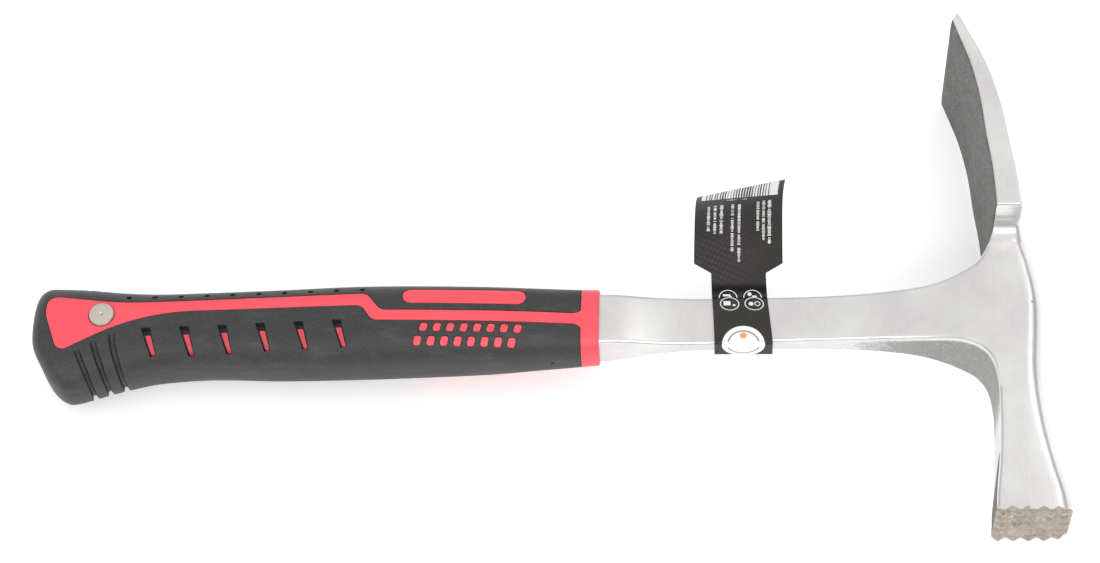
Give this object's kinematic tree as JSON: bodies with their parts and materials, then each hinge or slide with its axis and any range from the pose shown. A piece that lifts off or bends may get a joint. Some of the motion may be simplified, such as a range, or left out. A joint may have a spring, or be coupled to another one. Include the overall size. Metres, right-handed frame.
{
  "type": "mason's hammer",
  "caption": "Forged steel mason's hammer with a square milled poll, a curved chisel blade and a two-colour moulded grip, lying on its side with a card hang tag on its shank.",
  "frame": {"origin": "middle of the bounding box's underside, with the hammer lying on its side", "axes": "+X from the pommel to the head, +Y towards the blade's cutting edge, +Z square to the hammer's side"},
  "size_m": [0.3276, 0.1728, 0.051],
  "materials": {
    "forged_steel": "satin, with dark rough forged faces on the inner sides",
    "red_plastic": "satin moulded",
    "black_rubber": "matt, finely speckled",
    "rivet_steel": "satin",
    "black_card": "laminated print",
    "white_label": "smooth"
  },
  "bodies": {
    "hammer": {"forging": "forged_steel", "grip_core": "red_plastic", "grip_sleeve": "black_rubber", "rivet_post": "rivet_steel", "rivet_cap": "rivet_steel"},
    "tag": {"tag_card": "black_card", "seal_sticker": "white_label"}
  },
  "joints": [
    {"name": "tag_slide", "type": "slide", "parent": "hammer", "child": "tag", "axis": [1, 0, 0], "range_m": [-0.003, 0.016]}
  ]
}
